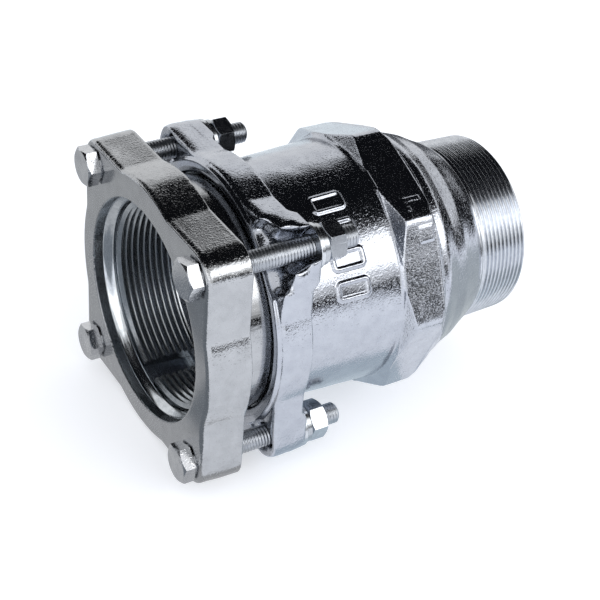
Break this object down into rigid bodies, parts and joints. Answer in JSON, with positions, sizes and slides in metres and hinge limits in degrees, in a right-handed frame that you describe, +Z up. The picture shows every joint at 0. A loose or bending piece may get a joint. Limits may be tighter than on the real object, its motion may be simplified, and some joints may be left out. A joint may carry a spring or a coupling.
{
  "type": "pipe repair union",
  "caption": "Bolted clamping union: a lugged flange squeezes a split grip ring and rubber seal round a plain pipe end; the other end is a male pipe thread.",
  "frame": {"origin": "on the pipe's axis, at the front face of the pressure flange, where the plain pipe enters", "axes": "+X along the pipe from the pressure flange to the male thread, +Z up; the four bolts stand at the corners of a square in Y and Z"},
  "size_m": [0.1864, 0.1296, 0.1296],
  "materials": {
    "galvanised_body": "bright zinc plating over a fine-grained malleable iron casting",
    "galvanised_flange": "bright zinc plating over a malleable iron casting, front face turned flat",
    "grip_ring_steel": "turned teeth, zinc plated",
    "slip_ring_steel": "plain steel",
    "seal_rubber": "moulded, satin",
    "zinc_plated_bolt": "bright zinc plating, rolled thread",
    "zinc_plated_nut": "bright zinc plating",
    "zinc_plated_washer": "bright zinc plating",
    "spring_steel": "bright zinc plating"
  },
  "bodies": {
    "union_body": {"body_casting": "galvanised_body", "flat_washer_a": "zinc_plated_washer", "flat_washer_b": "zinc_plated_washer", "flat_washer_c": "zinc_plated_washer", "flat_washer_d": "zinc_plated_washer", "spring_washer_a": "spring_steel", "spring_washer_b": "spring_steel", "spring_washer_c": "spring_steel", "spring_washer_d": "spring_steel"},
    "clamp": {"pressure_flange": "galvanised_flange", "bolt_a": "zinc_plated_bolt", "bolt_b": "zinc_plated_bolt", "bolt_c": "zinc_plated_bolt", "bolt_d": "zinc_plated_bolt"},
    "packing": {"grip_ring": "grip_ring_steel", "slip_ring": "slip_ring_steel", "seal_ring": "seal_rubber"},
    "nut_a": {"nut_a": "zinc_plated_nut"},
    "nut_b": {"nut_b": "zinc_plated_nut"},
    "nut_c": {"nut_c": "zinc_plated_nut"},
    "nut_d": {"nut_d": "zinc_plated_nut"}
  },
  "joints": [
    {"name": "clamp_travel", "type": "slide", "parent": "union_body", "child": "clamp", "axis": [1, 0, 0], "range_m": [0, 0.006]},
    {"name": "packing_travel", "type": "slide", "parent": "union_body", "child": "packing", "axis": [1, 0, 0], "range_m": [0, 0.0052]},
    {"name": "nut_a_turn", "type": "hinge", "parent": "union_body", "child": "nut_a", "pos_m": [0.0626, 0.0484, 0.0484], "axis": [1, 0, 0], "range_deg": [-1450, 10]},
    {"name": "nut_b_turn", "type": "hinge", "parent": "union_body", "child": "nut_b", "pos_m": [0.0626, -0.0484, 0.0484], "axis": [1, 0, 0], "range_deg": [-1450, 10]},
    {"name": "nut_c_turn", "type": "hinge", "parent": "union_body", "child": "nut_c", "pos_m": [0.0626, -0.0484, -0.0484], "axis": [1, 0, 0], "range_deg": [-1450, 10]},
    {"name": "nut_d_turn", "type": "hinge", "parent": "union_body", "child": "nut_d", "pos_m": [0.0626, 0.0484, -0.0484], "axis": [1, 0, 0], "range_deg": [-1450, 10]}
  ],
  "couplings": [
    {"joint": "packing_travel", "follows": "clamp_travel", "ratio": 0.85},
    {"joint": "nut_a_turn", "follows": "clamp_travel", "rad_per_m": -4188.8},
    {"joint": "nut_b_turn", "follows": "clamp_travel", "rad_per_m": -4188.8},
    {"joint": "nut_c_turn", "follows": "clamp_travel", "rad_per_m": -4188.8},
    {"joint": "nut_d_turn", "follows": "clamp_travel", "rad_per_m": -4188.8}
  ]
}
